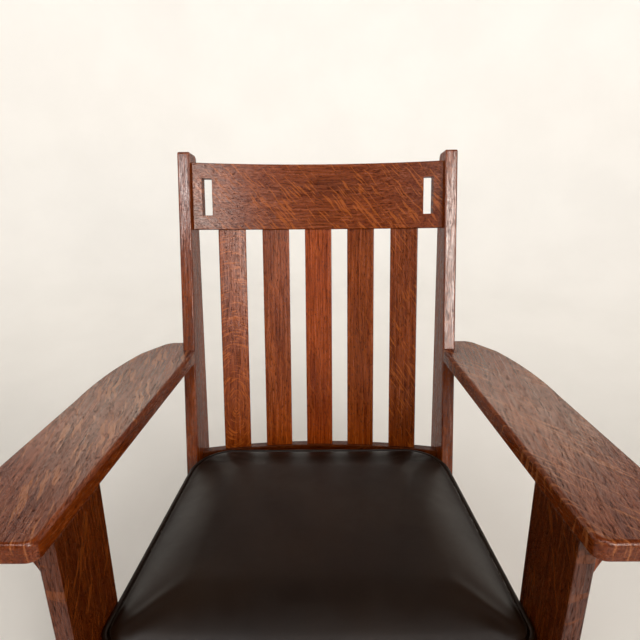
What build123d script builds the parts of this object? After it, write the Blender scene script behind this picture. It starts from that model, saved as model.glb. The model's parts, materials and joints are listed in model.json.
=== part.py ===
from build123d import *
import math
import os

# A mission rocking chair in oak. Lengths are in millimetres and angles in degrees.
# The chair is built upright on its front legs (the build frame) and tipped back onto its runners at the end.
# Build frame: x to the sitter's left, y backward, z up. y is zero where the back's own plane meets the arms' top.
# Pieces called right are on the +x side, which is the viewer's right from in front.

# Attitude
rest_tilt = 5.7
back_angle = 10.2
arm_splay = 4.83

# Overall places
arm_top = 585.0
half_width = 240.0
joint_gap = 0.1
edge_round = 1.5
butt_overrun = 12.0

# Back posts: boards set edge forward
post_thickness = 21.0
post_rise = 335.5
post_top_depth = 54.0
post_knee_depth = 109.0
post_foot_depth = 76.0
post_foot_setback = 62.0
post_knee_front_round = 240.0
post_knee_rear_round = 160.0
post_top_front_round = 4.0
post_top_rear_round = 12.0
post_edge_round = 2.5

# Bent rails of the back
bend_depth = 36.0
bent_rail_thickness = 22.0
bent_rail_ease = 1.0
crest_drop = 16.0
crest_height = 115.5
slot_width = 16.5
slot_height = 64.0
slot_drop = 26.5
slot_inset = 15.5
slot_corner = 1.5
lower_rail_drop = 207.0
lower_rail_height = 45.0
bent_tenon_thickness = 10.0
bent_tenon_shoulder = 7.0
bent_tenon_length = 13.0

# Slats
slat_count = 5
slat_width = 49.0
slat_end_gap = 38.1
slat_thickness = 12.0
slat_tenon_thickness = 7.0
slat_tenon_shoulder = 4.0
slat_tenon_length = 14.0

# Arms
arm_thickness = 22.0
arm_round = 5.0
arm_back_reach = 1.0
arm_waist_reach = 52.0
arm_curve_reach = 125.0
arm_middle_reach = 230.0
arm_front_reach = 537.0
arm_heel_width = 57.0
arm_waist_width = 92.0
arm_curve_width = 109.0
arm_middle_width = 115.0
arm_front_width = 118.0
arm_heel_round = 28.0
arm_nose_inner_round = 14.0
arm_nose_outer_round = 26.0
arm_tenon_thickness = 10.0
arm_tenon_height = 14.0
arm_tenon_length = 14.0

# Front legs: slabs under the arms
leg_thickness = 21.0
leg_depth = 100.0
leg_foot_depth = 88.0
arm_nose_overhang = 28.0
leg_tenon_thickness = 10.0
leg_tenon_shoulder = 14.0
leg_tenon_rise = 14.0
foot_tenon_shoulder = 12.0

# Corbels under the arms' overhang
corbel_thickness = 20.0
corbel_reach = 72.0
corbel_drop = 165.0
corbel_lip = 12.0
corbel_toe = 8.0
corbel_hollow = 12.0

# Seat rails and stretchers
rail_thickness = 18.0
rail_height = 85.0
rail_top = 332.0
rail_tenon_thickness = 9.0
rail_tenon_shoulder = 9.0
rail_tenon_length = 15.0
front_rail_setback = 4.0
rear_rail_face = 57.0
stretcher_thickness = 18.0
stretcher_height = 52.0
stretcher_top = 178.0
stretcher_tenon_length = 9.0
middle_stretcher_reach = 230.0

# Runners
runner_radius = 1000.0
runner_chord = 760.0
runner_height = 48.0
runner_tip_height = 27.0
runner_thickness = 32.0
runner_tip_round = 11.0
balance_reach = 178.0
runner_pin_radius = 4.0
runner_pin_spread = 30.0
runner_pin_rise = 11.0

# Drop-in seat
seat_gap = 1.2
seat_rear_reach = 59.5
seat_front_gap = 2.0
seat_rear_corner = 72.0
seat_front_corner = 30.0
drop_in_depth = 15.0
drop_in_inset = 6.0
seat_rest_gap = 0.3
rail_clearance = 1.0
boxing_height = 61.0
boxing_flare = 7.0
boxing_swell_height = 32.0
boxing_draw = 2.0
welt_radius = 3.0
welt_groove = 7.2
groove_reach = 6.0
crown_height = 20.0
crown_flat_half = 89.0
leather_thickness = 1.6
hem_width = 26.0
pad_gap = 0.3
frame_member_width = 52.0
frame_member_height = 20.0
frame_dowel_radius = 4.0
frame_dowel_length = 30.0
frame_dowel_inset = 32.0
frame_dowel_spread = 9.0
strap_width = 50.0
strap_thickness = 1.5
along_strap_count = 4
across_strap_count = 4
strap_margin = 4.0
deck_thickness = 1.0
dust_cover_thickness = 0.8

# Cleats, corner blocks and their screws
cleat_size = 18.0
cleat_end_gap = 6.0
block_leg = 60.0
block_height = 26.0
block_nose = 10.0
screw_radius = 2.0
screw_head_radius = 4.0
screw_head_height = 2.6
screw_bite = 12.0
cleat_screw_margin = 40.0

# Crown of the cushion, from the welt upward: shares of its height and of its inset
crown_shares = [(0.0, 0.0), (0.34, 0.06), (0.66, 0.22), (0.88, 0.52), (1.0, 1.0)]

os.makedirs("parts", exist_ok=True)
parts = {}

post_inner = half_width - post_thickness
slat_pitch = 2 * (post_inner - slat_end_gap - slat_width / 2) / (slat_count - 1)
leg_reach = arm_front_reach - arm_nose_overhang - leg_depth
rail_bottom = rail_top - rail_height
tilt = math.radians(rest_tilt)
lean = math.radians(back_angle)
splay = math.radians(arm_splay)

# The back's own frame: x across, y behind the rails' plane, z up along the lean from the arms' top
back_plane = Plane(origin=(0, 0, arm_top), x_dir=(1, 0, 0), z_dir=(0, math.sin(lean), math.cos(lean)))


def back_point(behind, above):
    """Side-view point (y, z) in the build frame of a place in the back's own frame."""
    y = above * math.sin(lean) + behind * math.cos(lean)
    z = arm_top + above * math.cos(lean) - behind * math.sin(lean)
    return (y, z)


def back_height(z):
    """Distance along the lean, from the arms' top, of the rails' plane at the build height z."""
    return (z - arm_top) / math.cos(lean)


def post_depth(above):
    """Depth of a back post, which tapers evenly from its knee to its top."""
    knee = back_height(rail_bottom)
    share = (above - knee) / (post_rise - knee)
    return post_knee_depth + (post_top_depth - post_knee_depth) * share


def post_front(z):
    """Build-frame y of a back post's front edge near the height z."""
    above = back_height(z)
    return back_point(-post_depth(above) / 2, above)[0]


arm_root = post_front(arm_top)


def side_inner(y):
    """Inner face line of arm and front leg, flush with the post where the arm meets it."""
    return post_inner + math.tan(splay) * (arm_root - y)


# The line of the right arm and leg: x outward from their inner face, y rearward along it, z up
leg_plane = Plane(
    origin=(side_inner(-leg_reach), -leg_reach, 0),
    x_dir=(math.cos(splay), math.sin(splay), 0),
    z_dir=(0, 0, 1),
)


def leg_place(x, y, z):
    """Build-frame point of a place in the leg's own frame."""
    return leg_plane.from_local_coords(Vector(x, y, z))


def side_profile(points, rounds=None):
    """Face in the side view from (y, z) points, with a rounding radius for each corner."""
    outline = FilletPolyline(*points, radius=rounds or [0] * len(points), close=True)
    return Plane.YZ * make_face(outline)


def across(face, x_low, x_high):
    """Slab from a side-view face, between two x places."""
    return Pos(x_low, 0, 0) * extrude(face, amount=x_high - x_low, dir=(1, 0, 0))


def block(x_low, x_high, y_low, y_high, z_low, z_high):
    """Square-cornered block between its own low and high sides."""
    size = (x_high - x_low, y_high - y_low, z_high - z_low)
    return Pos(x_low, y_low, z_low) * Box(*size, align=(Align.MIN, Align.MIN, Align.MIN))


def bar(start, end, thickness, z_low, z_high, extra=0.0):
    """Upright board along the plan line from start to end, longer by extra at each end."""
    run = Vector(end[0] - start[0], end[1] - start[1], 0)
    plane = Plane(origin=(start[0], start[1], 0), x_dir=run, z_dir=(0, 0, 1))
    return plane * block(-extra, run.length + extra, -thickness / 2, thickness / 2, z_low, z_high)


def mirrored(solid):
    """The left-hand copy of a right-hand piece."""
    return mirror(solid, about=Plane.YZ)


def add_pair(name, solid):
    """Keeps a right-hand piece and its left-hand copy under their node names."""
    parts[name + "_right"] = solid
    parts[name + "_left"] = mirrored(solid)


def tenoned(start, end, thickness, z_low, z_high, mates, length, hole=False):
    """A board butted to its mates with a tenon at each end, or the hole that its tenons need."""
    gap = joint_gap if hole else 0.0
    core = rail_tenon_thickness / 2 + gap
    low = z_low + rail_tenon_shoulder - gap
    high = z_high - rail_tenon_shoulder + gap
    tenon = bar(start, end, 2 * core, low, high, length + gap)
    if hole:
        return tenon
    board = bar(start, end, thickness, z_low, z_high, butt_overrun)
    for mate in mates:
        board -= mate
    return board + tenon


# Runners


def runner_point(turn, height):
    """Side-view point at an angle behind the floor contact and a height above the runner's sole."""
    centre_y = -balance_reach - runner_radius * math.sin(tilt)
    centre_z = runner_radius * math.cos(tilt)
    reach = runner_radius - height
    return (centre_y + reach * math.sin(tilt + turn), centre_z - reach * math.cos(tilt + turn))


def runner_blank():
    """Both runners' side view across the whole chair: a sole of constant radius and a back that thins."""
    half_turn = math.asin(runner_chord / 2 / runner_radius)
    sole = ThreePointArc(runner_point(-half_turn, 0), runner_point(0, 0), runner_point(half_turn, 0))
    top = ThreePointArc(
        runner_point(half_turn, runner_tip_height),
        runner_point(0, runner_height),
        runner_point(-half_turn, runner_tip_height),
    )
    outline = [sole, Line(sole @ 1, top @ 0), top, Line(top @ 1, sole @ 0)]
    face = make_face(outline)
    face = fillet(face.vertices(), runner_tip_round)
    return across(Plane.YZ * face, 0, 2 * half_width)


def runner_middle(y):
    """Build height of the middle of a runner at the place y."""
    centre_y = -balance_reach - runner_radius * math.sin(tilt)
    sole = runner_radius * math.cos(tilt) - math.sqrt(runner_radius**2 - (y - centre_y) ** 2)
    return sole + runner_height / 2


def pin(centre, direction, radius, length):
    """Round pin centred on a point."""
    return Plane(origin=centre, z_dir=direction) * Cylinder(radius, length)


runners = runner_blank()
leg_foot_y = -leg_reach - leg_foot_depth / 2
leg_foot_z = runner_middle(leg_foot_y)
post_foot_z = runner_middle(-post_foot_setback)
arm_under = arm_top - arm_thickness
leg_foot = leg_place(leg_thickness / 2, -leg_foot_depth / 2, leg_foot_z)
post_foot = Vector(half_width - post_thickness / 2, -post_foot_setback, post_foot_z)


# Front legs


def leg_blank():
    """A front leg before its joints are cut, its foot running into the runner."""
    outline = [(0, arm_under), (-leg_depth, arm_under), (-leg_foot_depth, leg_foot_z), (0, leg_foot_z)]
    board = across(side_profile(outline), 0, leg_thickness)
    longest = board.edges().sort_by(SortBy.LENGTH)[-len(outline):]
    return leg_plane * fillet(longest, edge_round)


def leg_tenon(gap=0.0):
    """Tenon at the top of a front leg, inside the arm."""
    half = leg_tenon_thickness / 2 + gap
    middle = leg_thickness / 2
    end = leg_tenon_shoulder - gap
    low = arm_under - leg_tenon_rise
    top = arm_under + leg_tenon_rise + gap
    return leg_plane * block(middle - half, middle + half, -leg_depth + end, -end, low, top)


def foot_tenon(foot, direction, depth, gap=0.0):
    """Tenon at the bottom of a leg or post, inside the runner."""
    plane = Plane(origin=foot, x_dir=direction, z_dir=(0, 0, 1))
    half = leg_tenon_thickness / 2 + gap
    end = depth / 2 - foot_tenon_shoulder + gap
    return plane * block(-half, half, -end, end, -gap, runner_height)


# Back posts


def square_post():
    """A back post with sharp edges, which cuts whatever is butted to it."""
    knee = back_height(rail_bottom)
    outline = [
        back_point(-post_top_depth / 2, post_rise),
        back_point(post_top_depth / 2, post_rise),
        back_point(post_knee_depth / 2, knee),
        (-post_foot_setback + post_foot_depth / 2, post_foot_z),
        (-post_foot_setback - post_foot_depth / 2, post_foot_z),
        back_point(-post_knee_depth / 2, knee),
    ]
    rounds = [post_top_front_round, post_top_rear_round, post_knee_rear_round, 0, 0, post_knee_front_round]
    return across(side_profile(outline, rounds), post_inner, half_width)


def lower_post_front(z):
    """Build-frame y of the post's front edge below its knee."""
    knee_y, knee_z = back_point(-post_knee_depth / 2, back_height(rail_bottom))
    foot_y = -post_foot_setback - post_foot_depth / 2
    share = (z - post_foot_z) / (knee_z - post_foot_z)
    return foot_y + (knee_y - foot_y) * share


post = fillet(square_post().edges(), post_edge_round)
leg = leg_blank()
leg_rear = leg_place(leg_thickness / 2, 0, 0)
post_middle_x = half_width - post_thickness / 2


# Bent rails and slats of the back, in the back's own frame

bend_radius = (post_inner**2 + bend_depth**2) / (2 * bend_depth)
bend_centre = bend_depth - bend_radius


def bent_board(thickness, low, high, half_span):
    """Bent board about the rails' middle curve."""
    outer = Cylinder(bend_radius + thickness / 2, high - low)
    inner = Cylinder(bend_radius - thickness / 2, high - low)
    ring = Pos(0, bend_centre, (low + high) / 2) * (outer - inner)
    return ring & block(-half_span, half_span, -bend_radius / 2, bend_radius, low, high)


def bent_rail(top, height):
    """A bent rail with a tenon at each end."""
    board = bent_board(bent_rail_thickness, top - height, top, post_inner)
    board = chamfer(board.edges().filter_by(GeomType.CIRCLE), bent_rail_ease)
    return board + bent_tenon(top, height)


def bent_tenon(top, height, gap=0.0):
    """The curved core that makes a bent rail's tenons, or with a gap the holes for them."""
    low = top - height + bent_tenon_shoulder - gap
    high = top - bent_tenon_shoulder + gap
    return bent_board(bent_tenon_thickness + 2 * gap, low, high, post_inner + bent_tenon_length + gap)


def slot():
    """The upright through slot at the right of the crest rail."""
    top = crest_top - slot_drop
    outer = post_inner - slot_inset
    cut = block(outer - slot_width, outer, -bend_depth, 2 * bend_depth, top - slot_height, top)
    return fillet(cut.edges().filter_by(Axis.Y), slot_corner)


def slat_frame(number):
    """Plane of a slat: x along its width, z up."""
    x = (number - (slat_count - 1) / 2) * slat_pitch
    behind = bend_centre + math.sqrt(bend_radius**2 - x**2)
    return Plane(origin=(x, behind, 0), x_dir=(behind - bend_centre, -x, 0), z_dir=(0, 0, 1))


def slat(number):
    """One slat with a tenon at each end."""
    half = slat_width / 2
    depth = slat_thickness / 2
    board = block(-half, half, -depth, depth, lower_rail_top, crest_top - crest_height)
    board = fillet(board.edges().filter_by(Axis.Z), edge_round)
    return slat_frame(number) * board + slat_tenon(number)


def slat_tenon(number, gap=0.0):
    """The core that makes a slat's tenons, or with a gap the holes for them."""
    half = slat_width / 2 - slat_tenon_shoulder + gap
    depth = slat_tenon_thickness / 2 + gap
    low = lower_rail_top - slat_tenon_length - gap
    high = crest_top - crest_height + slat_tenon_length + gap
    return slat_frame(number) * block(-half, half, -depth, depth, low, high)


crest_top = post_rise - crest_drop
lower_rail_top = -lower_rail_drop
crest = bent_rail(crest_top, crest_height) - slot() - mirrored(slot())
lower_rail = bent_rail(lower_rail_top, lower_rail_height)
for number in range(slat_count):
    crest -= slat_tenon(number, joint_gap)
    lower_rail -= slat_tenon(number, joint_gap)
    parts["back_slat_" + str(number + 1)] = back_plane * slat(number)
parts["crest_rail"] = back_plane * crest
parts["lower_back_rail"] = back_plane * lower_rail
post -= back_plane * bent_tenon(crest_top, crest_height, joint_gap)
post -= back_plane * bent_tenon(lower_rail_top, lower_rail_height, joint_gap)


# Seat rails

side_rail_start = (post_middle_x, post_front((rail_top + rail_bottom) / 2))
side_rail_end = (leg_rear.X, leg_rear.Y)
leg_front_y = leg_place(0, -leg_depth, 0).Y
front_rail_face = leg_front_y + front_rail_setback
front_rail_back = front_rail_face + rail_thickness
front_rail_y = front_rail_face + rail_thickness / 2
rear_rail_y = -rear_rail_face + rail_thickness / 2
front_rail_line = ((-side_inner(front_rail_y), front_rail_y), (side_inner(front_rail_y), front_rail_y))
rear_rail_line = ((-post_inner, rear_rail_y), (post_inner, rear_rail_y))
rail_levels = (rail_bottom, rail_top)


def seat_rail(line, mates):
    """A seat rail along a plan line."""
    return tenoned(*line, rail_thickness, *rail_levels, mates, rail_tenon_length)


def seat_rail_hole(line):
    """The mortises that a seat rail needs."""
    return tenoned(*line, rail_thickness, *rail_levels, [], rail_tenon_length, hole=True)


side_rail_line = (side_rail_start, side_rail_end)
side_rail = seat_rail(side_rail_line, [square_post(), leg])
front_rail = seat_rail(front_rail_line, [leg, mirrored(leg)])
rear_rail = seat_rail(rear_rail_line, [square_post(), mirrored(square_post())])
post -= seat_rail_hole(side_rail_line)
post -= seat_rail_hole(rear_rail_line)


# Stretchers

stretcher_bottom = stretcher_top - stretcher_height
stretcher_middle = (stretcher_top + stretcher_bottom) / 2
stretcher_levels = (stretcher_bottom, stretcher_top)
side_stretcher_line = ((post_middle_x, lower_post_front(stretcher_middle)), (leg_rear.X, leg_rear.Y))
side_stretcher = tenoned(
    *side_stretcher_line, stretcher_thickness, *stretcher_levels, [square_post(), leg], rail_tenon_length
)
stretcher_hole = tenoned(
    *side_stretcher_line, stretcher_thickness, *stretcher_levels, [], rail_tenon_length, hole=True
)
post -= stretcher_hole


def side_stretcher_inner(y):
    """Inner face of the right side stretcher at the place y."""
    (x_rear, y_rear), (x_front, y_front) = side_stretcher_line
    middle = x_rear + (x_front - x_rear) * (y_rear - y) / (y_rear - y_front)
    return middle - stretcher_thickness / 2


middle_end = side_stretcher_inner(-middle_stretcher_reach)
middle_line = ((-middle_end, -middle_stretcher_reach), (middle_end, -middle_stretcher_reach))
middle_stretcher = tenoned(
    *middle_line,
    stretcher_thickness,
    *stretcher_levels,
    [side_stretcher, mirrored(side_stretcher)],
    stretcher_tenon_length,
)
side_stretcher -= tenoned(
    *middle_line, stretcher_thickness, *stretcher_levels, [], stretcher_tenon_length, hole=True
)


# Arms


def arm_blank():
    """A paddle arm before its joints are cut, with its rear end square beside the post."""

    def outer(reach, width):
        return (side_inner(-reach) + width, -reach)

    waist = outer(arm_waist_reach, arm_waist_width)
    middle = outer(arm_middle_reach, arm_middle_width)
    edge = FilletPolyline(
        waist,
        (post_inner + arm_heel_width, arm_back_reach),
        (post_inner, arm_back_reach),
        (post_inner, arm_root),
        (side_inner(-arm_front_reach), -arm_front_reach),
        outer(arm_front_reach, arm_front_width),
        middle,
        radius=[arm_heel_round, 0, 0, arm_nose_inner_round, arm_nose_outer_round],
    )
    curve = ThreePointArc(middle, outer(arm_curve_reach, arm_curve_width), waist)
    board = Pos(0, 0, arm_under) * extrude(make_face([edge, curve]), amount=arm_thickness)
    board = fillet(board.faces().sort_by(Axis.Z)[-1].edges(), arm_round)
    return fillet(board.faces().sort_by(Axis.Z)[0].edges(), edge_round)


def arm_tenon(gap=0.0):
    """Tenon of an arm in the front edge of the post."""
    half = arm_tenon_thickness / 2 + gap
    sides = (post_middle_x - half, post_middle_x + half)
    ends = (arm_root - arm_tenon_length, arm_root + arm_tenon_length + gap)
    middle = arm_top - arm_thickness / 2
    rise = arm_tenon_height / 2 + gap
    return block(*sides, *ends, middle - rise, middle + rise)


arm = arm_blank() - square_post() + arm_tenon() - leg_tenon(joint_gap)
post -= arm_tenon(joint_gap)


# Corbels


def corbel():
    """Bracket between a front leg's outer face and the arm."""
    lip = (corbel_reach, -corbel_lip)
    toe = (corbel_toe, -corbel_drop)
    hollow = ((lip[0] + toe[0]) / 2 - corbel_hollow, (lip[1] + toe[1]) / 2 + corbel_hollow)
    outline = [
        Polyline(toe, (0, -corbel_drop), (0, 0), (corbel_reach, 0), lip),
        ThreePointArc(lip, hollow, toe),
    ]
    board = extrude(Plane.XZ * make_face(outline), amount=corbel_thickness / 2, both=True)
    return leg_plane * Pos(leg_thickness, -leg_depth / 2, arm_under) * board


# Runners, feet and their pins

runner_run = leg_foot - post_foot
runner_way = Vector(runner_run.X, runner_run.Y, 0).normalized()
runner_side = Vector(-runner_way.Y, runner_way.X, 0)
leg_way = leg_plane.x_dir
runner_line = [(point.X, point.Y) for point in (post_foot, leg_foot)]
runner = runners & bar(*runner_line, runner_thickness, -runner_radius, runner_radius, runner_chord)
runner -= foot_tenon(leg_foot, leg_way, leg_foot_depth, joint_gap)
runner -= foot_tenon(post_foot, (1, 0, 0), post_foot_depth, joint_gap)
post = post - runners + foot_tenon(post_foot, (1, 0, 0), post_foot_depth)
leg = leg - runners + foot_tenon(leg_foot, leg_way, leg_foot_depth) + leg_tenon()
leg -= seat_rail_hole(side_rail_line)
leg -= seat_rail_hole(front_rail_line)
leg -= stretcher_hole

pins = []
for foot in (post_foot, leg_foot):
    for side in (-1, 1):
        centre = foot + runner_way * (side * runner_pin_spread / 2) + Vector(0, 0, runner_pin_rise)
        pins.append(pin(centre, runner_side, runner_pin_radius, runner_thickness))
        hole = pin(centre, runner_side, runner_pin_radius + joint_gap, runner_thickness + 2 * butt_overrun)
        runner -= hole
        post -= hole
        leg -= hole
pins += [mirrored(peg) for peg in pins]


# Cleats and corner blocks that the seat rests on

cleat_top = rail_top - drop_in_depth
cleat_bottom = cleat_top - cleat_size


def beside(line, distance, trim):
    """A plan line moved towards the chair's middle and shortened at both ends."""
    start, end = (Vector(*point) for point in line)
    way = (end - start).normalized()
    inward = Vector(way.Y, -way.X, 0)
    middle = (start + end) / 2
    if inward.dot(Vector(0, side_rail_end[1] / 2, 0) - middle) < 0:
        inward = -inward
    shift = inward * distance
    return [start + way * trim + shift, end - way * trim + shift]


def screw(origin, direction, length, gap=0.0):
    """Countersunk screw whose head lies flush at its origin, or with a gap the hole it needs."""
    head = Cone(screw_radius + gap, screw_head_radius + gap, screw_head_height)
    head = Pos(0, 0, -screw_head_height / 2) * head
    shank = Pos(0, 0, -(length + gap) / 2) * Cylinder(screw_radius + gap, length + gap)
    return Plane(origin=origin, z_dir=-direction) * (head + shank)


def cleat(line, trim):
    """A cleat along a rail's inner face, with its two screws."""
    start, end = beside(line, (rail_thickness + cleat_size) / 2, trim)
    strip = bar((start.X, start.Y), (end.X, end.Y), cleat_size, cleat_bottom, cleat_top)
    way = (end - start).normalized()
    rail_start = beside(line, 0, trim)[0]
    outward = (rail_start - start).normalized()
    lift = Vector(0, 0, (cleat_bottom + cleat_top) / 2)
    inner_face = -outward * (cleat_size / 2)
    heads = [start + way * cleat_screw_margin, end - way * cleat_screw_margin]
    origins = [head + inner_face + lift for head in heads]
    length = cleat_size + screw_bite
    fixings = [screw(origin, outward, length) for origin in origins]
    holes = [screw(origin, outward, length, joint_gap) for origin in origins]
    for hole in holes:
        strip -= hole
    return strip, fixings, holes


def corner_block(corner, along, inward):
    """Corner block from its plan corner and its two legs' directions, with its screw and hole."""
    corner = Vector(*corner)
    ends = [corner + along * block_leg, corner + inward * block_leg]
    points = [corner, ends[0], ends[0] + inward * block_nose, ends[1] + along * block_nose, ends[1]]
    outline = Polyline(*[(point.X, point.Y) for point in points], close=True)
    body = Pos(0, 0, cleat_top - block_height) * extrude(make_face(outline), amount=block_height)
    face_middle = (points[2] + points[3]) / 2
    origin = face_middle + Vector(0, 0, cleat_top - block_height / 2)
    way = corner - face_middle
    length = way.length + screw_bite
    hole = screw(origin, way.normalized(), length, joint_gap)
    return body - hole, screw(origin, way.normalized(), length), hole


block_overlap = max(0, rear_rail_face + block_leg + side_rail_start[1])
side_cleat, side_screws, side_holes = cleat(side_rail_line, block_overlap + cleat_end_gap)
front_cleat, front_screws, front_holes = cleat(front_rail_line, block_leg + cleat_end_gap)
rear_cleat, rear_screws, rear_holes = cleat(rear_rail_line, block_leg + cleat_end_gap)
front_corner = (side_inner(front_rail_back), front_rail_back)
rear_corner = (post_inner, -rear_rail_face)
left_way = Vector(-1, 0, 0)
front_block, front_block_screw, front_block_hole = corner_block(front_corner, left_way, leg_plane.y_dir)
rear_block, rear_block_screw, rear_block_hole = corner_block(rear_corner, left_way, Vector(0, -1, 0))
for hole in side_holes:
    side_rail -= hole
for hole in front_holes + [front_block_hole, mirrored(front_block_hole)]:
    front_rail -= hole
for hole in rear_holes + [rear_block_hole, mirrored(rear_block_hole)]:
    rear_rail -= hole
leg -= front_block_hole
post -= rear_block_hole

add_pair("back_post", post)
add_pair("front_leg", leg)
add_pair("arm", arm)
add_pair("arm_corbel", corbel())
add_pair("rocker", runner)
add_pair("side_seat_rail", side_rail)
add_pair("side_stretcher", side_stretcher)
add_pair("seat_cleat", side_cleat)
add_pair("corner_block_front", front_block)
add_pair("corner_block_rear", rear_block)
parts["front_seat_rail"] = front_rail
parts["rear_seat_rail"] = rear_rail
parts["middle_stretcher"] = middle_stretcher
parts["seat_cleat_front"] = front_cleat
parts["seat_cleat_rear"] = rear_cleat
parts["rocker_pins"] = Compound(pins)
block_screws = [front_block_screw, rear_block_screw]
parts["corner_block_screws"] = Compound(block_screws + [mirrored(one) for one in block_screws])
side_screws += [mirrored(one) for one in side_screws]
parts["cleat_screws"] = Compound(side_screws + front_screws + rear_screws)


# Drop-in seat

seat_floor = cleat_top + seat_rest_gap
seat_front_y = front_rail_back + seat_front_gap
seat_half = min(side_inner(-seat_rear_reach) - seat_gap, -(seat_rear_reach + seat_front_y) / 2)
crown_inset = seat_half - welt_groove - crown_flat_half
welt_z = rail_top + boxing_height
frame_bottom = seat_floor + leather_thickness
frame_top = frame_bottom + frame_member_height
frame_inset = drop_in_inset + leather_thickness + joint_gap
deck_bottom = frame_top + 2 * strap_thickness
deck_top = deck_bottom + deck_thickness


def seat_corners(inset):
    """Plan corners of the seat drawn in by an inset: rear right, rear left, front left, front right."""
    rear = -seat_rear_reach - inset
    front = seat_front_y + inset
    gap = (seat_gap + inset) / math.cos(splay)
    rear_x = side_inner(rear) - gap
    front_x = side_inner(front) - gap
    return [(rear_x, rear), (-rear_x, rear), (-front_x, front), (front_x, front)]


def seat_face(inset, z):
    """Rounded plan of the seat at a height, its corners tighter the more it is drawn in."""
    shrink = 1 - inset / seat_half
    rounds = [seat_rear_corner, seat_rear_corner, seat_front_corner, seat_front_corner]
    outline = FilletPolyline(*seat_corners(inset), radius=[shrink * each for each in rounds], close=True)
    return Pos(0, 0, z) * make_face(outline)


def seat_slab(inset, low, high):
    """Flat layer of the seat."""
    return extrude(seat_face(inset, low), amount=high - low)


def cushion(shrink):
    """Crowned cushion: drawn in where it drops between the rails, swelling, then grooved for its welt."""
    low = rail_top + rail_clearance
    swell = low + boxing_flare
    levels = [
        (drop_in_inset, seat_floor + shrink),
        (drop_in_inset, low),
        (0, swell),
        (0, swell + boxing_swell_height),
        (boxing_draw, welt_z - groove_reach),
        (welt_groove, welt_z),
    ]
    crown_floor = welt_z + welt_radius - shrink
    for rise_share, inset_share in crown_shares:
        levels.append((welt_groove + crown_inset * inset_share, crown_floor + crown_height * rise_share))
    return loft([seat_face(inset + shrink, z) for inset, z in levels], ruled=True)


def seat_leather():
    """Leather cover, turned under the frame as a hem."""
    opening = seat_slab(drop_in_inset + hem_width, seat_floor, frame_top)
    return cushion(0.0) - cushion(leather_thickness) - opening


def seat_welt():
    """Piping round the top edge."""
    outline = seat_face(welt_radius, welt_z).face().outer_wire()
    start = Plane(origin=outline @ 0, z_dir=outline % 0)
    return sweep(start * Circle(welt_radius), path=outline)


def frame_members():
    """The four members of the seat's wooden frame."""
    opening = Polyline(*seat_corners(frame_inset + frame_member_width), close=True)
    ring = seat_slab(frame_inset, frame_bottom, frame_top)
    ring -= Pos(0, 0, frame_bottom) * extrude(make_face(opening), amount=frame_member_height)
    reach = half_width + arm_front_width
    front_joint = seat_front_y + frame_inset + frame_member_width
    rear_joint = -seat_rear_reach - frame_inset - frame_member_width
    levels = (frame_bottom, frame_top)
    members = {
        "front": ring & block(-reach, reach, seat_front_y, front_joint, *levels),
        "rear": ring & block(-reach, reach, rear_joint, 0, *levels),
        "right": ring & block(0, reach, front_joint, rear_joint, *levels),
    }
    return members, front_joint, rear_joint


def straps(count, along):
    """One layer of webbing straps laid over the frame."""
    inset = frame_inset + strap_margin
    low = frame_top + (strap_thickness if along else 0)
    layer = seat_slab(inset, low, low + strap_thickness)
    rear_x, rear = seat_corners(frame_inset + frame_member_width)[0]
    front = seat_corners(frame_inset + frame_member_width)[3][1]
    everywhere = (-arm_top, arm_top)
    bands = []
    for number in range(count):
        share = (number + 1 / 2) / count
        if along:
            middle = rear_x * (2 * share - 1)
            sides = (middle - strap_width / 2, middle + strap_width / 2, *everywhere)
        else:
            middle = front + (rear - front) * share
            sides = (*everywhere, middle - strap_width / 2, middle + strap_width / 2)
        bands += (layer & block(*sides, *everywhere)).solids()
    return Compound(bands)


members, front_joint, rear_joint = frame_members()
dowels = []
for joint in (front_joint, rear_joint):
    middle = side_inner(joint) - seat_gap - frame_inset - frame_dowel_inset
    for side in (-1, 1):
        centre = (middle + side * frame_dowel_spread, joint, (frame_bottom + frame_top) / 2)
        dowels.append(pin(centre, (0, 1, 0), frame_dowel_radius, frame_dowel_length))
        hole = pin(centre, (0, 1, 0), frame_dowel_radius + joint_gap, frame_dowel_length + 2 * joint_gap)
        members["front"] -= hole + mirrored(hole)
        members["rear"] -= hole + mirrored(hole)
        members["right"] -= hole
dowels += [mirrored(peg) for peg in dowels]

parts["seat_frame_front"] = members["front"]
parts["seat_frame_rear"] = members["rear"]
add_pair("seat_frame", members["right"])
parts["seat_frame_dowels"] = Compound(dowels)
parts["webbing_across"] = straps(across_strap_count, along=False)
parts["webbing_along"] = straps(along_strap_count, along=True)
parts["seat_deck"] = seat_slab(frame_inset + strap_margin, deck_bottom, deck_top)
parts["seat_pad"] = cushion(leather_thickness + pad_gap) & block(
    -runner_radius, runner_radius, -runner_radius, runner_radius, deck_top, arm_top
)
parts["seat_leather"] = seat_leather()
parts["seat_welt"] = seat_welt()
parts["seat_dust_cover"] = seat_slab(
    drop_in_inset + hem_width + pad_gap, frame_bottom - dust_cover_thickness, frame_bottom
)


# Tip the chair onto its runners, put its origin at the middle of its footprint and write the files

tipped = {name: Rot(X=-rest_tilt) * solid for name, solid in parts.items()}
box = Compound(list(tipped.values())).bounding_box()
origin = Pos(-(box.min.X + box.max.X) / 2, -(box.min.Y + box.max.Y) / 2, -box.min.Z)
for name, solid in tipped.items():
    export_step(origin * solid, "parts/" + name + ".step")
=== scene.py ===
import json
import math

import bmesh
import bpy
from mathutils import Euler, Matrix, Vector, noise

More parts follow.
